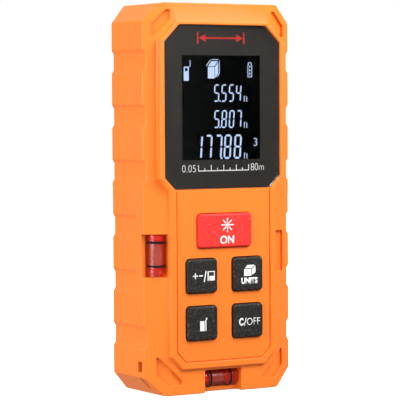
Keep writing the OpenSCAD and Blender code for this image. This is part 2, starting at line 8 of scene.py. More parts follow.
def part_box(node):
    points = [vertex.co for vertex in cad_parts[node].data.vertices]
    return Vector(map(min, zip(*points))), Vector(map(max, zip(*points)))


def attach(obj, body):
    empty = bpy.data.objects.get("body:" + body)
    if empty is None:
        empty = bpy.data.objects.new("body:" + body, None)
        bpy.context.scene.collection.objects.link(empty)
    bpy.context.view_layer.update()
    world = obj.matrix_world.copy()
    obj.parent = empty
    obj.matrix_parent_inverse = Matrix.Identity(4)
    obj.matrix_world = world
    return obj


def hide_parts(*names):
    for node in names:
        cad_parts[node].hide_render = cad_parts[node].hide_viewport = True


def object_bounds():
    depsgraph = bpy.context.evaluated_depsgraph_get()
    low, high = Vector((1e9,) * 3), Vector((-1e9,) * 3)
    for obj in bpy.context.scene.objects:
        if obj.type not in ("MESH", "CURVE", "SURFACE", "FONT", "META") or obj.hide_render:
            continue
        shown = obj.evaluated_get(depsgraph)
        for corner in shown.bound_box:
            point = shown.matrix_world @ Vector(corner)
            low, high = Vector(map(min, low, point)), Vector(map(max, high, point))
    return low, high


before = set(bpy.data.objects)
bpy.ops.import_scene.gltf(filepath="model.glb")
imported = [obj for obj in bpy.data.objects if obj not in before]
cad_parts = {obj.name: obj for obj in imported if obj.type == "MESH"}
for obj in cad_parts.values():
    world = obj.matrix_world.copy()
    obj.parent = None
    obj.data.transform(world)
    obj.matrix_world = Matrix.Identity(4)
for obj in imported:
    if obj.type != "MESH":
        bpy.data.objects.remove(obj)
cad_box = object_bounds()

MM = 0.001
HALF_W = cad_box[1].x / MM
HEIGHT = cad_box[1].z / MM
KEY_Y = cad_box[0].y / MM
BACK_Y = cad_box[1].y / MM
SEAM_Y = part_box("rear_housing")[0].y / MM
RIM_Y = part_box("front_housing")[0].y / MM
FRONT_STRIP = 4.6  # depth of the straight side walls that belongs to the front housing
SIDE_Y = SEAM_Y - FRONT_STRIP
CORNER = 5.6  # chamfer at the four corners of the case
INK_THICK = 0.03
SEGMENT_THICK = 0.02
PRINT_GAP = 0.005  # keeps a print clear of the face that it lies on
SAME_PLACE = 0.05  # places this close, in millimetres, are taken as one


# ---------------------------------------------------------------- camera, light and floor

def set_camera():
    """A long lens at the front left, level with the display, turned right and a little down."""
    data = bpy.data.cameras.new("camera")
    data.lens = 187.74
    data.sensor_width = 36.0
    data.clip_end = 20.0
    camera = bpy.data.objects.new("camera", data)
    bpy.context.scene.collection.objects.link(camera)
    left_of_case, in_front_of_case, above_floor = 0.3337, 0.5408, 0.0865
    turned_right, tilted_down, rolled = math.radians(31.20), math.radians(2.53), math.radians(0.31)
    place = Matrix.Translation((-left_of_case, SIDE_Y * MM - in_front_of_case, above_floor))
    turn = Matrix.Rotation(-turned_right, 4, "Z")
    pitch = Matrix.Rotation(math.pi / 2 - tilted_down, 4, "X")
    roll = Matrix.Rotation(-rolled, 4, "Z")
    camera.matrix_world = place @ turn @ pitch @ roll
    bpy.context.scene.camera = camera


def soft_light(name, place, size, power):
    """Square panel of light that faces the middle of the case."""
    case_middle = Vector((0, 0, 0.06))
    data = bpy.data.lights.new(name, "AREA")
    data.size = size
    data.energy = power
    light = bpy.data.objects.new(name, data)
    bpy.context.scene.collection.objects.link(light)
    light.location = place
    light.rotation_euler = (case_middle - Vector(place)).to_track_quat("-Z", "Y").to_euler()
    light.visible_camera = False


def white_studio(light_level, gloss_level, through_level, flag_turn):
    """White all round for the eye. The light that it gives fades a little towards the ground. Gloss and
    glass catch it with a soft dark flag, which stands flag_turn degrees to the right of the front."""
    flag_core, flag_edge = math.radians(11), math.radians(20)
    world = bpy.data.worlds.new("white studio")
    bpy.context.scene.world = world
    world.use_nodes = True
    tree = world.node_tree
    tree.nodes.clear()
    path = add(tree, "ShaderNodeLightPath")
    towards = add(tree, "ShaderNodeTexCoord").outputs["Generated"]
    height = add(tree, "ShaderNodeSeparateXYZ", {}, {0: towards}).outputs["Z"]
    fade = add(tree, "ShaderNodeMapRange", {},
               {0: height, 1: -1.0, 2: 1.0, 3: light_level * 0.6, 4: light_level * 1.4})
    turn = math.radians(flag_turn)
    flag = Vector((math.sin(turn), -math.cos(turn), 0))
    nearness = add(tree, "ShaderNodeVectorMath", {"operation": "DOT_PRODUCT"}, {0: towards, 1: flag})
    open_sky = add(tree, "ShaderNodeMapRange", {"interpolation_type": "SMOOTHSTEP"},
                   {0: nearness.outputs["Value"], 1: math.cos(flag_core), 2: math.cos(flag_edge),
                    3: 0.0, 4: 1.0})
    around = add(tree, "ShaderNodeMapRange", {},
                 {0: path.outputs["Is Transmission Ray"], 3: gloss_level, 4: through_level})
    caught = add(tree, "ShaderNodeMath", {"operation": "MULTIPLY"},
                 {0: open_sky.outputs[0], 1: around.outputs[0]})
    gloss_or_glass = add(tree, "ShaderNodeMath", {"operation": "MAXIMUM"},
                         {0: path.outputs["Is Glossy Ray"], 1: path.outputs["Is Transmission Ray"]})
    felt = add(tree, "ShaderNodeMix", {},
               {0: gloss_or_glass.outputs[0], 2: fade.outputs[0], 3: caught.outputs[0]})
    level = add(tree, "ShaderNodeMix", {}, {0: path.outputs["Is Camera Ray"], 2: felt.outputs[0], 3: 1.0})
    white = add(tree, "ShaderNodeBackground", {}, {"Color": (1, 1, 1, 1), "Strength": level.outputs[0]})
    add(tree, "ShaderNodeOutputWorld", {}, {"Surface": white.outputs[0]})


# ---------------------------------------------------------------- materials

def colour(code):
    """Linear colour from an sRGB hex value."""
    parts = [int(code[i:i + 2], 16) / 255 for i in (1, 3, 5)]
    return tuple(p / 12.92 if p <= 0.04045 else ((p + 0.055) / 1.055) ** 2.4 for p in parts) + (1.0,)


def add(tree, kind, settings=None, inputs=None):
    """Adds a node. An input gets a value, or a link where another node's output is given."""
    node = tree.nodes.new(kind)
    for name, value in (settings or {}).items():
        setattr(node, name, value)
    for name, value in (inputs or {}).items():
        if isinstance(value, bpy.types.NodeSocket):
            tree.links.new(value, node.inputs[name])
        else:
            node.inputs[name].default_value = value
    return node


def finish_of(name, code, roughness, cloud_mm, cloud, grain_mm, relief_mm, stretch=(1, 1, 1), **sockets):
    """A material with faint clouds in its colour, and a grain that varies its gloss and lifts its surface.
    cloud_mm and grain_mm are the real sizes of the two patterns, cloud is how strong the clouds are and
    relief_mm is how high the grain stands. stretch is how many times finer the grain is along each axis, and
    sockets are the shader's own."""
    gloss_spread = 0.04
    material = bpy.data.materials.new(name)
    material.use_nodes = True
    tree = material.node_tree
    shader = tree.nodes["Principled BSDF"]
    for socket, value in sockets.items():
        shader.inputs[socket.replace("_", " ")].default_value = value
    where = add(tree, "ShaderNodeTexCoord").outputs["Object"]
    drawn = add(tree, "ShaderNodeMapping", {}, {"Vector": where, "Scale": stretch}).outputs[0]
    clouds = add(tree, "ShaderNodeTexNoise", {},
                 {"Vector": where, "Scale": 1 / (cloud_mm * MM), "Detail": 3.0})
    grain = add(tree, "ShaderNodeTexNoise", {},
                {"Vector": drawn, "Scale": 1 / (grain_mm * MM), "Detail": 2.0})
    base = colour(code)
    dark = tuple(c * (1 - cloud) for c in base[:3]) + (1.0,)
    light = tuple(min(1.0, c * (1 + cloud)) for c in base[:3]) + (1.0,)
    tint = add(tree, "ShaderNodeMix", {"data_type": "RGBA"}, {0: clouds.outputs["Fac"], 6: dark, 7: light})
    gloss = add(tree, "ShaderNodeMapRange", {},
                {0: grain.outputs["Fac"], 3: max(0.0, roughness - gloss_spread),
                 4: min(1.0, roughness + gloss_spread)})
    bump = add(tree, "ShaderNodeBump", {},
               {"Height": grain.outputs["Fac"], "Distance": relief_mm * MM, "Strength": 1.0})
    tree.links.new(tint.outputs[2], shader.inputs["Base Color"])
    tree.links.new(gloss.outputs[0], shader.inputs["Roughness"])
    tree.links.new(bump.outputs[0], shader.inputs["Normal"])
    return material


# Thermoplastic rubber over ABS, moulded on an eroded tool: satin, with a soft sheen on the edges
SHELL = finish_of("TPE rubber, orange, eroded mould", "#FC7E21", 0.42, 14, 0.02, 0.45, 0.004, IOR=1.48)
# Acrylic with a hard coat: clear and polished
WINDOW = finish_of("Acrylic sheet, hard coated", "#FFFFFF", 0.05, 30, 0.0, 6, 0.0002,
                   IOR=1.49, Transmission_Weight=1.0)
# Screen ink on the back of the acrylic: warm black, quite matt
MASK = finish_of("Screen ink, warm black", "#373531", 0.6, 20, 0.03, 0.3, 0.001, Specular_IOR_Level=0.2)
# Display glass under a dark polariser
LCD = finish_of("LCD glass, dark polariser", "#050707", 0.3, 25, 0.05, 3, 0.0002, Specular_IOR_Level=0.0)
# Open segments of the display, lit from behind: cool white
LIT = finish_of("LCD segments, backlit", "#20242A", 0.5, 10, 0.01, 1, 0.0001)
# Light guide: frosted polycarbonate
GUIDE = finish_of("Polycarbonate, frosted light guide", "#F2F4F0", 0.4, 10, 0.02, 0.4, 0.01,
                  IOR=1.58, Transmission_Weight=0.3)
# Glass-filled nylon: chalky white with a fine fibre grain
NYLON = finish_of("Nylon, glass filled, white", "#E6E4DC", 0.6, 8, 0.03, 0.25, 0.01)
# Silicone keys, compression moulded: matt, slightly waxy
RED_KEY = finish_of("Silicone rubber, red, moulded", "#F82E28", 0.5, 6, 0.03, 0.35, 0.012, IOR=1.42)
BLACK_KEY = finish_of("Silicone rubber, black, moulded", "#15140F", 0.6, 6, 0.05, 0.35, 0.03, IOR=1.42)
# Silicone sheet under the keys, undyed: milky and waxy
WEB = finish_of("Silicone rubber, natural, moulded", "#C9CAC6", 0.55, 8, 0.03, 0.4, 0.01, IOR=1.42)
# Printed legends: opaque, a little raised and slightly glossy
WHITE_INK = finish_of("Pad printing ink, white", "#FBFAF6", 0.5, 2, 0.01, 0.15, 0.001)
# Inks behind the window. They glow a little, because little of the studio light passes a clear sheet
WINDOW_INK = finish_of("Screen ink, white, behind acrylic", "#FBFAF6", 0.5, 2, 0.01, 0.15, 0.001)
WINDOW_RED = finish_of("Screen ink, red, behind acrylic", "#D8281C", 0.5, 2, 0.01, 0.15, 0.001)
# Zinc plated steel, stamped or turned: bright with a faint haze
STEEL = finish_of("Steel, zinc plated", "#C9CBC8", 0.3, 3, 0.05, 0.15, 0.002, Metallic=1.0)
# Blackened screws: dark, with a dull gleam of metal
DARK_STEEL = finish_of("Steel, black oxide", "#3B3A3B", 0.4, 3, 0.08, 0.15, 0.002, Metallic=1.0)
# Nickel plated wire and strip: bright and a little warm
SPRING = finish_of("Spring wire, nickel plated", "#D2CDBF", 0.22, 3, 0.04, 0.2, 0.001, Metallic=1.0)
# Epoxy package: matt black with a fine filler grain
CHIP = finish_of("Epoxy chip package, moulded", "#1C1D1F", 0.6, 3, 0.08, 0.12, 0.006)
# ABS from a spark-eroded mould: black with a fine satin grain
BLACK_ABS = finish_of("ABS, black, textured mould", "#1B1B1C", 0.48, 8, 0.05, 0.35, 0.012, IOR=1.54)
# Zinc alloy, pressure cast: dull grey with flow marks
CASTING = finish_of("Zinc alloy, die cast", "#9A9C9E", 0.5, 5, 0.08, 0.6, 0.01, Metallic=1.0)
# Turned and black anodised: dark satin, with fine rings round the axis
ANODISED = finish_of("Aluminium, black anodised", "#2A2B2D", 0.35, 4, 0.05, 0.2, 0.002,
                     stretch=(1, 1, 12), Metallic=1.0)
# Brass bar, turned: fine rings round the axis
BRASS = finish_of("Brass, turned", "#D9B25C", 0.24, 4, 0.04, 0.25, 0.003, stretch=(1, 1, 10), Metallic=1.0)
# Gold plated caps: warm and mirror bright
GOLD = finish_of("Kovar, gold plated", "#E6C06A", 0.2, 4, 0.03, 0.2, 0.001, Metallic=1.0)
# Optical glass, ground and polished, with a faint blue bloom from its coating
LENS_GLASS = finish_of("Optical glass, polished, coated", "#E9F1FA", 0.05, 20, 0.0, 5, 0.0001,
                       IOR=1.52, Transmission_Weight=1.0)
# Filter in front of the sensor: deep red and mirror smooth
FILTER = finish_of("Filter glass, red dichroic", "#8C1020", 0.05, 10, 0.02, 5, 0.0001,
                   IOR=1.52, Transmission_Weight=0.6)
# Cast acrylic tube of the vial: a thin red tint over what is inside it, and a bright gloss
VIAL = finish_of("Acrylic, red tinted cast", "#FF2A1C", 0.05, 12, 0.0, 4, 0.0001,
                 IOR=1.49, Specular_IOR_Level=1.0, Alpha=0.24)
# Dyed spirit: clear red liquid, paler where the bubble lies
SIDE_SPIRIT = finish_of("Dyed spirit, side vial", "#E8453A", 0.1, 10, 0.03, 5, 0.0001, IOR=1.36)
END_SPIRIT = finish_of("Dyed spirit, end vial", "#D8403A", 0.1, 10, 0.03, 5, 0.0001, IOR=1.36)
# Plug glued into the tube: a fuller red than the tube, slightly uneven
PLUG = finish_of("Acrylic plug, red, glued", "#FF3A2C", 0.12, 2, 0.05, 0.5, 0.004, IOR=1.49)
# Ring lines of the vial: black and matt
RING_INK = finish_of("Ring ink, black", "#0A0808", 0.5, 2, 0.03, 0.2, 0.001, Specular_IOR_Level=0.2)
# Film shrunk round the cells: blue grey, with a faint ripple in its gloss
SLEEVE = finish_of("Battery sleeve, shrunk film", "#39424C", 0.3, 9, 0.04, 0.8, 0.004)
# Open cell foam: rough, with pores
FOAM = finish_of("Polyurethane foam, cut", "#46464A", 0.9, 4, 0.12, 0.7, 0.15)
# Blank polyester label, matt silver print
LABEL = finish_of("Polyester label, matt silver", "#C4C5C3", 0.45, 10, 0.02, 0.2, 0.002, Metallic=0.5)
# Pale studio board: evenly white
FLOOR = finish_of("Studio board, white matt", "#FFFFFF", 0.9, 200, 0.0, 2, 0.001, Specular_IOR_Level=0.0)


def striped(name, code, line_code, pitch_mm, line_share, roughness):
    """A sheet with straight lines of copper under its surface, at a real pitch along X."""
    material = finish_of(name, code, roughness, 6, 0.04, 0.3, 0.003)
    tree = material.node_tree
    shader = tree.nodes["Principled BSDF"]
    under = shader.inputs["Base Color"].links[0].from_socket
    where = add(tree, "ShaderNodeTexCoord").outputs["Object"]
    across = add(tree, "ShaderNodeSeparateXYZ", {}, {0: where}).outputs["X"]
    count = add(tree, "ShaderNodeMath", {"operation": "DIVIDE"}, {0: across, 1: pitch_mm * MM})
    part = add(tree, "ShaderNodeMath", {"operation": "FRACT"}, {0: count.outputs[0]})
    line = add(tree, "ShaderNodeMath", {"operation": "LESS_THAN"}, {0: part.outputs[0], 1: line_share})
    mixed = add(tree, "ShaderNodeMix", {"data_type": "RGBA"},
                {0: line.outputs[0], 6: under, 7: colour(line_code)})
    tree.links.new(mixed.outputs[2], shader.inputs["Base Color"])
    return material


def show_bubble(material, axis, low, high):
    """The stretch with the bubble looks greyer than the dyed spirit, and its ends are dark lines."""
    line_wide = 0.2 * MM
    tree = material.node_tree
    shader = tree.nodes["Principled BSDF"]
    dye = shader.inputs["Base Color"].links[0].from_socket
    where = add(tree, "ShaderNodeTexCoord").outputs["Object"]
    along = add(tree, "ShaderNodeSeparateXYZ", {}, {0: where}).outputs[axis]
    shifted = add(tree, "ShaderNodeMath", {"operation": "SUBTRACT"}, {0: along, 1: (low + high) / 2})
    away = add(tree, "ShaderNodeMath", {"operation": "ABSOLUTE"}, {0: shifted.outputs[0]}).outputs[0]
    half = (high - low) / 2
    beyond = add(tree, "ShaderNodeMath", {"operation": "GREATER_THAN"}, {0: away, 1: half})
    body = add(tree, "ShaderNodeMix", {"data_type": "RGBA"},
               {0: beyond.outputs[0], 6: colour("#A0806E"), 7: dye})
    near_end = add(tree, "ShaderNodeMath", {"operation": "COMPARE"}, {0: away, 1: half, 2: line_wide})
    lined = add(tree, "ShaderNodeMix", {"data_type": "RGBA"},
                {0: near_end.outputs[0], 6: body.outputs[2], 7: colour("#5A3026")})
    tree.links.new(lined.outputs[2], shader.inputs["Base Color"])


# The side bubble reaches from ring to ring, and the end bubble stops short of the right ring
END_BUBBLE_SHARE = 0.7
side_rings = [corner.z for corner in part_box("side_vial_rings")]
end_rings = [corner.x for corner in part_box("end_vial_rings")]
show_bubble(SIDE_SPIRIT, "Z", side_rings[0], side_rings[1])
show_bubble(END_SPIRIT, "X", end_rings[0], end_rings[0] + END_BUBBLE_SHARE * (end_rings[1] - end_rings[0]))


def specked(material, speck_mm, rarity, code):
    """Pale specks of dust, drawn coarser than real ones so that they show. A higher rarity means fewer."""
    soft_edge = 0.06
    tree = material.node_tree
    shader = tree.nodes["Principled BSDF"]
    under = shader.inputs["Base Color"].links[0].from_socket
    where = add(tree, "ShaderNodeTexCoord").outputs["Object"]
    specks = add(tree, "ShaderNodeTexNoise", {},
                 {"Vector": where, "Scale": 1 / (speck_mm * MM), "Detail": 0.0})
    shown = add(tree, "ShaderNodeMapRange", {}, {0: specks.outputs["Fac"], 1: rarity, 2: rarity + soft_edge})
    mixed = add(tree, "ShaderNodeMix", {"data_type": "RGBA"},
                {0: shown.outputs[0], 6: under, 7: colour(code)})
    tree.links.new(mixed.outputs[2], shader.inputs["Base Color"])


specked(BLACK_KEY, 0.28, 0.72, "#8C877E")
specked(RED_KEY, 0.25, 0.76, "#FF9A90")

# Epoxy board under green solder mask: tracks show as lighter lines
BOARD = striped("Glass epoxy board, green mask", "#14532F", "#1E6B3E", 1.27, 0.3, 0.35)
# Polyimide film with copper tracks
FLEX = striped("Polyimide film, copper tracks", "#B9691E", "#D98B35", 0.5, 0.5, 0.35)


def glowing(material, code, strength):
    """Makes a material give a light of its own."""
    shader = material.node_tree.nodes["Principled BSDF"]
    shader.inputs["Emission Color"].default_value = colour(code)
    shader.inputs["Emission Strength"].default_value = strength


glowing(LIT, "#BCD2F8", 1.15)
glowing(WINDOW_INK, "#FFFFFF", 0.45)
glowing(WINDOW_RED, "#C0281C", 0.12)
glowing(FLOOR, "#FFFFFF", 0.75)


# ---------------------------------------------------------------- modelling helpers

def edit(piece):
    """Opens one piece in edit mode, alone."""
    if bpy.context.object and bpy.context.object.mode != "OBJECT":
        bpy.ops.object.mode_set(mode="OBJECT")
    bpy.ops.object.select_all(action="DESELECT")
    bpy.context.view_layer.objects.active = piece
    piece.select_set(True)
    bpy.ops.object.mode_set(mode="EDIT")
    bpy.ops.mesh.select_all(action="SELECT")


def leave():
    bpy.ops.object.mode_set(mode="OBJECT")


def dress(piece, name, material, body, slot, *nodes):
    """Names a finished piece, gives it its material, sets it on the body that it rides on, and hides the
    nodes that it stands for.
    """
    piece.name = name
    piece.data.name = name
    piece.data.materials.clear()
    piece.data.materials.append(material)
    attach(piece, body)
    if nodes:
        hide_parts(*nodes)


def softened(node, width_of, segments=3):
    """Copy of a CAD node with its sharp outer edges rounded. width_of(middle, edge) gives millimetres."""
    flat_angle, sharp_angle, smooth_angle = math.radians(1), math.radians(20), math.radians(35)
    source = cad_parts[node]
    piece = bpy.data.objects.new(node + ".soft", source.data.copy())
    bpy.context.scene.collection.objects.link(piece)
    edit(piece)
    bpy.ops.mesh.remove_doubles(threshold=1e-6)
    bpy.ops.mesh.dissolve_limited(angle_limit=flat_angle)
    leave()
    mesh = bmesh.new()
    mesh.from_mesh(piece.data)
    layer = mesh.edges.layers.float.new("bevel_weight_edge")
    widths = {}
    for line in mesh.edges:
        if len(line.link_faces) == 2 and line.is_convex and line.calc_face_angle() > sharp_angle:
            widths[line] = width_of((line.verts[0].co + line.verts[1].co) / 2 / MM, line)
    widest = max(widths.values())
    for line, width in widths.items():
        line[layer] = width / widest
    mesh.to_mesh(piece.data)
    mesh.free()
    bevel = piece.modifiers.new("rounding", "BEVEL")
    bevel.limit_method = "WEIGHT"
    bevel.width = widest * MM
    bevel.segments = segments
    bevel.use_clamp_overlap = False
    bpy.ops.object.modifier_apply(modifier=bevel.name)
    bpy.ops.object.shade_smooth_by_angle(angle=smooth_angle)
    even = piece.modifiers.new("even faces", "WEIGHTED_NORMAL")
    even.keep_sharp = True
    bpy.ops.object.modifier_apply(modifier=even.name)
    return piece


def face_of(node, y):
    """Middle of a node's face, in millimetres, rounded to the hundredths that the case is drawn in."""
    low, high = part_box(node)
    return round((low.x + high.x) / 2 / MM, 2), y, round((low.z + high.z) / 2 / MM, 2)


def flat_shape(points, face, thick=INK_THICK):
    """Thin shape that faces the front. Its corners are in X and Z from the middle of a face."""
    across, y, up = face
    bpy.ops.object.select_all(action="DESELECT")
    bpy.ops.mesh.primitive_circle_add(vertices=len(points), fill_type="NGON")
    piece = bpy.context.object
    for vertex, (x, z) in zip(piece.data.vertices, points):
        vertex.co = ((across + x) * MM, y * MM, (up + z) * MM)
    edit(piece)
    bpy.ops.mesh.extrude_region_move(TRANSFORM_OT_translate={"value": (0, -thick * MM, 0)})
    bpy.ops.mesh.select_all(action="SELECT")
    bpy.ops.mesh.normals_make_consistent(inside=False)
    leave()
    return piece


def joined(pieces):
    """Makes the pieces one object, the first of them."""
    bpy.ops.object.select_all(action="DESELECT")
    for piece in pieces:
        piece.select_set(True)
    bpy.context.view_layer.objects.active = pieces[0]
    bpy.ops.object.join()
    return pieces[0]


def bar(x0, z0, x1, z1, face):
    """Upright box of print between two corners."""
    return flat_shape([(x0, z0), (x1, z0), (x1, z1), (x0, z1)], face)


def stroke(a, b, wide, face):
    """Straight line of a printed width from a to b."""
    along = (Vector(b) - Vector(a)).normalized() * wide / 2
    side = Vector((-along.y, along.x))
    ends = [Vector(a) - side, Vector(b) - side, Vector(b) + side, Vector(a) + side]
    return flat_shape([tuple(p) for p in ends], face)


def outline(points, wide, face):
    """Closed line round the points, as one stroke for each side."""
    return [stroke(points[i], points[(i + 1) % len(points)], wide, face) for i in range(len(points))]


def lettering(text, x0, x1, z0, z1, face, bold=0.0):
    """Text made to fill a box in X and Z, from the middle of a face. bold thickens its strokes."""
    across, y, up = face
    raised = 0.01
    bpy.ops.object.select_all(action="DESELECT")
    bpy.ops.object.text_add()
    piece = bpy.context.object
    piece.data.body = text
    piece.data.offset = bold
    piece.data.resolution_u = 4
    bpy.ops.object.convert(target="MESH")
    edit(piece)
    bpy.ops.mesh.dissolve_limited(angle_limit=math.radians(0.5))
    bpy.ops.mesh.extrude_region_move(TRANSFORM_OT_translate={"value": (0, 0, raised)})
    bpy.ops.mesh.select_all(action="SELECT")
    bpy.ops.mesh.normals_make_consistent(inside=False)
    leave()
    points = [v.co.copy() for v in piece.data.vertices]
    low = [min(p[i] for p in points) for i in range(2)]
    high = [max(p[i] for p in points) for i in range(2)]
    for vertex, p in zip(piece.data.vertices, points):
        x = across + x0 + (x1 - x0) * (p.x - low[0]) / (high[0] - low[0])
        z = up + z0 + (z1 - z0) * (p.y - low[1]) / (high[1] - low[1])
        face_y = y - INK_THICK if p.z > raised / 2 else y
        vertex.co = (x * MM, face_y * MM, z * MM)
    return piece


# ---------------------------------------------------------------- housings

# Just inside the rim's outer line: beside the window, beside the keys, and at its two ends
RIM_BY_WINDOW_X = 21.4
RIM_BY_KEYS_X = 17.7
RIM_LOW_Z = 8.6
RIM_HIGH_Z = 112.1
# The same on its corners: x + z on the upper ones, x - z on the lower ones and on the shoulder between
RIM_HIGH_CORNER = 127.9
RIM_LOW_CORNER = 5.4
RIM_SHOULDER = -44
SHOULDER_LOW_Z = 61.4
SHOULDER_HIGH_Z = 65.8
# Field of the window, the keypad and the space behind them
FIELD_X = 17.5
FIELD_LOW_Z = 9
KEYPAD_HIGH_Z = 62
FIELD_HIGH_Z = 106


def on_outer_wall(x, z):
    """True on the straight sides, the two ends and the corner chamfers."""
    groove_reach = 1.0
    high_chamfer = abs(x + z - (HALF_W + HEIGHT - CORNER)) < SAME_PLACE
    low_chamfer = abs(x - z - (HALF_W - CORNER)) < SAME_PLACE
    at_an_end = z < SAME_PLACE or z > HEIGHT - SAME_PLACE
    return x > HALF_W - groove_reach or at_an_end or high_chamfer or low_chamfer


def outside_the_rim(x, z):
    """True nearer the rim's outer line than the recesses inside it."""
    beside = x > RIM_BY_WINDOW_X or (z < KEYPAD_HIGH_Z and x > RIM_BY_KEYS_X)
    at_an_end = z > RIM_HIGH_Z or z < RIM_LOW_Z
    at_a_corner = x + z > RIM_HIGH_CORNER or x - z > RIM_LOW_CORNER
    shoulder = SHOULDER_LOW_Z < z < SHOULDER_HIGH_Z and x - z > RIM_SHOULDER
    return beside or at_an_end or at_a_corner or shoulder


def at_strap_opening(mid):
    """Mouths of the strap slot in the left wall and of the slit in the chamfer below it."""
    in_slot = mid.x < -23.5 and 7.0 < mid.z < 10.5 and SEAM_Y - 3.4 < mid.y < SEAM_Y - 0.6
    in_slit = mid.x < -21.5 and mid.z < 6.0 and SEAM_Y - 2.8 < mid.y < SEAM_Y - 1.2
    return in_slot or in_slit


# Roundings of the two shells, in millimetres
SEAM_ROUND = 0.14
RIM_ROUND = 0.45
RECESS_ROUND = 0.25
KEY_OPENING_ROUND = 0.1
STRAP_ROUND = 0.1
FRONT_WALL_ROUND = 0.4
REAR_WALL_ROUND = 0.35
GROOVE_ROUND = 0.2
OTHER_ROUND = 0.15
LONG_EDGE = 4 * MM


def front_edges(mid, line):
    x, y, z = abs(mid.x), mid.y, mid.z
    behind_the_face = RIM_Y + 2.6
    in_field = x < FIELD_X and FIELD_LOW_Z < z < FIELD_HIGH_Z
    if at_strap_opening(mid):
        return STRAP_ROUND
    if abs(y - SEAM_Y) < SAME_PLACE:
        return SEAM_ROUND if on_outer_wall(x, z) else 0.0
    if y > behind_the_face and in_field:
        return 0.0
    if abs(y - RIM_Y) < SAME_PLACE:
        return RIM_ROUND if outside_the_rim(x, z) else RECESS_ROUND
    if in_field and z < KEYPAD_HIGH_Z:
        return KEY_OPENING_ROUND
    if on_outer_wall(x, z):
        along_a_wall = x > HALF_W - SAME_PLACE or line.calc_length() > LONG_EDGE
        return FRONT_WALL_ROUND if along_a_wall else GROOVE_ROUND
    return OTHER_ROUND


def rear_edges(mid, line):
    x, y, z = abs(mid.x), mid.y, mid.z
    inside_of_back = BACK_Y - 2.2
    if abs(y - SEAM_Y) < SAME_PLACE:
        return SEAM_ROUND if on_outer_wall(x, z) else 0.0
    if y < inside_of_back and not on_outer_wall(x, z):
        return 0.0
    if on_outer_wall(x, z) and line.calc_length() > LONG_EDGE:
        return REAR_WALL_ROUND
    return OTHER_ROUND


front_shell = softened("front_housing", front_edges)
dress(front_shell, "front_shell", SHELL, "root", "orange_shell", "front_housing")
rear_shell = softened("rear_housing", rear_edges)
dress(rear_shell, "rear_shell", SHELL, "root", "orange_shell", "rear_housing")


def door_edges(mid, line):
    """Rounds the edges that lie within 0.45 mm of the back."""
    return 0.2 if abs(mid.y - BACK_Y) < 0.45 else 0.0


door = softened("battery_door", door_edges)
dress(door, "door_plate", SHELL, "door", "orange_shell", "battery_door")


PANEL_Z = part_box("end_panel")[1].z / MM


def panel_edges(mid, line):
    return 0.25 if mid.z > PANEL_Z - SAME_PLACE else 0.0


laser_end_cover = softened("end_panel", panel_edges)
dress(laser_end_cover, "laser_end_cover", BLACK_ABS, "root", "black_plastic", "end_panel")


def ink_edges(mid, line):
    return 0.01


# The print lies a hair behind the window, so that the two faces never coincide
INK_SET_BACK = 0.02
ink_layer = softened("window_mask", ink_edges)
for vertex in ink_layer.data.vertices:
    vertex.co.y += INK_SET_BACK * MM
dress(ink_layer, "ink_layer", MASK, "root", "window_print", "window_mask")


# ---------------------------------------------------------------- keys

def key_edges(mid, line):
    return 0.7 if abs(mid.y - KEY_Y) < SAME_PLACE else 0.0


KEYS = {
    "measure": ("red_key", RED_KEY), "reference": ("black_key", BLACK_KEY), "units": ("black_key", BLACK_KEY),
    "indirect": ("black_key", BLACK_KEY), "clear": ("black_key", BLACK_KEY)}
for key_name, (key_slot, key_finish) in KEYS.items():
    cap = softened(key_name + "_button", key_edges, segments=5)
    dress(cap, key_name + "_cap", key_finish, key_name + "_key", key_slot, key_name + "_button")


def small_cube(x, z, wide, high, deep_x, deep_z, gap, face):
    """Cube seen from its upper right: a filled front, top and side with thin gaps between."""
    right, top = x + wide, z + high
    return [
        bar(x, z, right - gap, top - gap, face),
        flat_shape([(x + gap, top), (right - gap / 2, top), (right + deep_x - gap, top + deep_z),
                    (x + deep_x, top + deep_z)], face),
        flat_shape([(right, z + gap), (right + deep_x, z + deep_z), (right + deep_x, top + deep_z - gap),
                    (right, top - gap)], face)]


def beam_burst(x, z, radius, face):
    """Eight rays round a point, for the light that the key switches on."""
    rays_start, ray_wide, dot_radius, dot_sides = 0.3, 0.32, 0.45, 12
    middle = Vector((x, z))
    rays = []
    for i in range(8):
        turn = Vector((math.cos(i * math.pi / 4), math.sin(i * math.pi / 4)))
        rays.append(stroke(middle + turn * radius * rays_start, middle + turn * radius, ray_wide, face))
    angles = [2 * math.pi * i / dot_sides for i in range(dot_sides)]
    dot = [(x + dot_radius * math.cos(angle), z + dot_radius * math.sin(angle)) for angle in angles]
    return rays + [flat_shape(dot, face)]


def key_legend(key, parts):
    dress(joined(parts), key + "_legend", WHITE_INK, key + "_key", "window_print")


def key_face(key):
    return face_of(key + "_button", KEY_Y)


face = key_face("measure")
key_legend("measure", beam_burst(0.6, 1.65, 2.2, face)
           + [lettering("ON", -2.0, 2.95, -4.15, -1.6, face, 0.025)])

# Plus, minus, stroke and a meter with its edge marked: arithmetic and the choice of the reference end
face = key_face("reference")
key_legend("reference", [
    bar(-3.55, -0.05, -1.85, 0.3, face),
    bar(-2.87, -0.75, -2.53, 1.0, face),
    bar(-1.4, -0.05, -0.05, 0.3, face),
    stroke((0.4, -1.8), (1.05, 1.5), 0.33, face),
    bar(1.6, -1.45, 1.95, 1.4, face),
    bar(1.95, 1.15, 4.1, 1.4, face),
    bar(3.85, -0.05, 4.1, 1.15, face),
    bar(2.25, -1.45, 4.1, -0.05, face)])

face = key_face("units")
key_legend("units", small_cube(-1.65, -0.65, 2.85, 2.35, 1.25, 1.0, 0.26, face)
           + [lettering("UNITS", -2.65, 3.25, -3.1, -1.15, face, 0.05)])

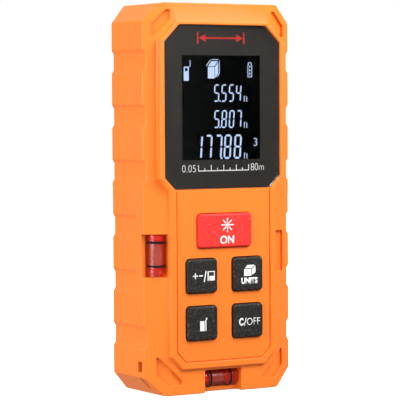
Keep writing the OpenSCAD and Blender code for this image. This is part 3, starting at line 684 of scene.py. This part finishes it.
# A meter with a line out of its top, for indirect measuring
face = key_face("indirect")
key_legend("indirect", [
    bar(-1.1, -2.3, 0.4, 0.7, face),
    bar(0.75, -2.3, 1.07, 0.7, face),
    stroke((0.7, 0.7), (1.15, 1.15), 0.22, face),
    bar(0.95, 1.0, 1.35, 1.7, face)])

face = key_face("clear")
key_legend("clear", [
    lettering("C", -3.55, -1.95, -1.55, 0.85, face, 0.05),
    stroke((-1.65, -1.5), (-1.0, 0.85), 0.26, face),
    lettering("OFF", -0.7, 4.1, -1.45, 0.75, face, -0.01)])


# ---------------------------------------------------------------- display

DISPLAY = face_of("lcd_panel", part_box("lcd_panel")[0].y / MM - PRINT_GAP)
BARS_OF = {"0": "abcdef", "1": "bc", "4": "bcfg", "5": "acdfg", "7": "abc", "8": "abcdefg"}


def digit(figure, x, z, wide, high, thick):
    """Seven-bar figure with pointed bars."""
    half = thick / 2
    gap = 0.22 * thick
    left, right = x + half, x + wide - half
    low, mid, top = z + half, z + high / 2, z + high - half
    ends = {
        "a": ((left, top), (right, top)), "b": ((right, top), (right, mid)),
        "c": ((right, mid), (right, low)), "d": ((left, low), (right, low)),
        "e": ((left, mid), (left, low)), "f": ((left, top), (left, mid)), "g": ((left, mid), (right, mid))}
    made = []
    for name in BARS_OF[figure]:
        a, b = Vector(ends[name][0]), Vector(ends[name][1])
        along = (b - a).normalized()
        side = Vector((-along.y, along.x)) * half
        a, b = a + along * gap, b - along * gap
        made.append(flat_shape([tuple(p) for p in (
            a, a + along * half - side, b - along * half - side, b, b - along * half + side,
            a + along * half + side)], DISPLAY, SEGMENT_THICK))
    return made


def feet_sign(x, z):
    """The letters f and t, for feet."""
    return [
        bar(x + 0.12, z, x + 0.34, z + 1.75, DISPLAY), bar(x + 0.34, z + 1.57, x + 0.64, z + 1.75, DISPLAY),
        bar(x, z + 0.95, x + 0.5, z + 1.07, DISPLAY), bar(x + 1.0, z, x + 1.22, z + 1.6, DISPLAY),
        bar(x + 0.86, z + 0.95, x + 1.42, z + 1.07, DISPLAY), bar(x + 1.22, z, x + 1.44, z + 0.16, DISPLAY)]


def lit_mark(name, parts):
    dress(joined(parts), name, LIT, "root", "display")


def reading(name, figures, wide, high, thick, z):
    """One line of slanted figures, each given as (character, x of its left edge), with its unit."""
    slant = math.tan(math.radians(4))
    unit_x = 8.0
    parts = []
    for figure, x in figures:
        if figure == ".":
            parts.append(bar(x, z, x + thick, z + thick, DISPLAY))
        else:
            parts += digit(figure, x, z, wide, high, thick)
    row = joined(parts)
    for vertex in row.data.vertices:
        vertex.co.x += slant * (vertex.co.z - (DISPLAY[2] + z) * MM)
    lit_mark(name, [row] + feet_sign(unit_x, z))


reading("upper_reading", [("5", -2.75), (".", -0.7), ("5", -0.15), ("5", 2.5), ("4", 5.05)],
        1.9, 5.3, 0.42, 1.75)
reading("middle_reading", [("5", -2.75), (".", -0.7), ("8", -0.15), ("0", 2.55), ("7", 5.15)],
        1.9, 5.4, 0.42, -6.2)
reading("main_reading", [("1", -9.65), ("7", -6.2), ("7", -2.65), (".", -0.3), ("8", 0.65), ("8", 4.25)],
        2.6, 7.4, 0.58, -15.6)

# The exponent of the main reading's unit
lit_mark("power_mark", [lettering("3", 11.6, 12.9, -11.8, -9.35, DISPLAY, -0.01)])

# A meter with its beam, for the end that is measured from
device = outline([(-13.0, 10.75), (-11.65, 10.75), (-11.65, 12.15), (-13.0, 12.15)], 0.38, DISPLAY)
lit_mark("device_mark", device + [
    bar(-13.2, 8.1, -11.45, 10.75, DISPLAY),
    stroke((-11.5, 12.15), (-11.0, 12.55), 0.16, DISPLAY),
    bar(-11.05, 12.35, -10.85, 14.25, DISPLAY)])

# A cube with the lines that stand off its left, top and right edges
lit_mark("volume_mark", [
    bar(-4.7, 8.8, -2.35, 12.3, DISPLAY),
    flat_shape([(-4.6, 12.5), (-2.4, 12.5), (-1.2, 14.0), (-3.4, 14.0)], DISPLAY),
    flat_shape([(-2.15, 8.95), (-1.1, 10.25), (-1.1, 13.65), (-2.15, 12.3)], DISPLAY),
    stroke((-5.25, 12.55), (-3.75, 14.4), 0.2, DISPLAY),
    stroke((-3.4, 14.5), (-1.0, 14.5), 0.2, DISPLAY),
    stroke((-0.65, 14.05), (-0.65, 10.35), 0.2, DISPLAY),
    stroke((-0.65, 10.35), (-1.5, 9.25), 0.2, DISPLAY)])

battery_line = [(9.6, 9.35), (11.0, 9.35), (11.0, 12.75), (10.65, 13.65), (9.95, 13.65), (9.6, 12.75)]
battery_bars = [bar(10.12, 9.95 + 1.1 * i, 10.48, 10.55 + 1.1 * i, DISPLAY) for i in range(3)]
lit_mark("battery_mark", outline(battery_line, 0.22, DISPLAY) + battery_bars)


# ---------------------------------------------------------------- prints behind the window

WINDOW_BACK = face_of("window_mask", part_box("window_mask")[0].y / MM - PRINT_GAP)


def window_legend(name, parts, ink):
    dress(joined(parts), name, ink, "root", "window_print")


# Every second tick of the range scale is a long one
TICK_PITCH = 2.24
TICK_WIDE = 0.2
ticks = []
for i in range(9):
    tick_x = -8.3 + TICK_PITCH * i
    tick_z = -17.55 if i % 2 == 0 else -18.45
    ticks.append(bar(tick_x - TICK_WIDE / 2, -19.25, tick_x + TICK_WIDE / 2, tick_z, WINDOW_BACK))
window_legend("range_scale", ticks + [
    bar(-8.4, -19.4, 9.72, -19.18, WINDOW_BACK),
    lettering("0.05", -14.05, -9.25, -19.6, -17.45, WINDOW_BACK, -0.02),
    lettering("80m", 10.4, 15.1, -19.45, -17.25, WINDOW_BACK, -0.02)], WINDOW_INK)

# Dimension arrow between two end lines
window_legend("dimension_arrow", [
    bar(-8.6, 19.05, -8.1, 22.55, WINDOW_BACK),
    bar(7.8, 19.05, 8.3, 22.55, WINDOW_BACK),
    bar(-6.2, 20.55, 5.9, 21.05, WINDOW_BACK),
    flat_shape([(-7.9, 20.8), (-5.6, 19.65), (-5.6, 21.95)], WINDOW_BACK),
    flat_shape([(7.6, 20.8), (5.3, 21.95), (5.3, 19.65)], WINDOW_BACK)], WINDOW_RED)


# ---------------------------------------------------------------- finishes of the CAD pieces

FINISHES = {
    "window_lens": WINDOW, "lcd_panel": LCD, "lcd_backlight": GUIDE, "lcd_frame": NYLON, "lcd_ribbon": FLEX,
    "keypad_web": WEB, "key_domes": STEEL, "main_board": BOARD, "board_chips": CHIP, "buzzer": BLACK_ABS,
    "board_screws": STEEL, "optical_bench": CASTING, "receiver_lens": LENS_GLASS, "lens_ring": ANODISED,
    "laser_window": LENS_GLASS, "laser_barrel": BRASS, "laser_lens": LENS_GLASS, "laser_diode": GOLD,
    "light_filter": FILTER, "photodiode": GOLD, "sensor_board": BOARD, "bench_screws": STEEL,
    "side_vial_tube": VIAL, "side_vial_liquid": SIDE_SPIRIT, "side_vial_plug": PLUG,
    "side_vial_rings": RING_INK, "end_vial_tube": VIAL, "end_vial_liquid": END_SPIRIT,
    "end_vial_plug": PLUG, "end_vial_rings": RING_INK, "battery_tray": BLACK_ABS, "battery_cells": SLEEVE,
    "battery_springs": SPRING, "battery_contacts": SPRING, "door_foam": FOAM, "housing_screws": DARK_STEEL,
    "rating_label": LABEL, "lanyard_bar": STEEL}
# Nodes that the pieces above stand for
HIDDEN_BY_COPIES = {
    "front_housing": SHELL, "rear_housing": SHELL, "battery_door": SHELL, "end_panel": BLACK_ABS,
    "window_mask": MASK, "measure_button": RED_KEY, "reference_button": BLACK_KEY,
    "units_button": BLACK_KEY, "indirect_button": BLACK_KEY, "clear_button": BLACK_KEY}
for node_name, finish in {**FINISHES, **HIDDEN_BY_COPIES}.items():
    for material_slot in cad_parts[node_name].material_slots:
        material_slot.material = finish


# ---------------------------------------------------------------- floor, light, view

bpy.ops.object.select_all(action="DESELECT")
FLOOR_GAP = 0.2 * MM
bpy.ops.mesh.primitive_plane_add(size=3.0, location=(0, 0, -FLOOR_GAP))
floor = bpy.context.object
bpy.ops.object.transform_apply(location=True, rotation=True, scale=True)
floor.name = "floor"
floor.data.materials.append(FLOOR)
# Only the eye sees the floor, so that it throws no light or reflection onto the case
floor.visible_diffuse = False
floor.visible_glossy = False
floor.visible_transmission = False

white_studio(light_level=0.51, gloss_level=0.45, through_level=0.5, flag_turn=44)
soft_light("left light", (-1.26, -0.13, 0.28), 0.9, 17.5)
soft_light("near light over the front", (0.08, -0.20, 0.26), 0.2, 1.15)
soft_light("fill behind", (0.7, 1.1, 0.5), 0.9, 9.0)
set_camera()
bpy.context.scene.view_settings.view_transform = "Standard"
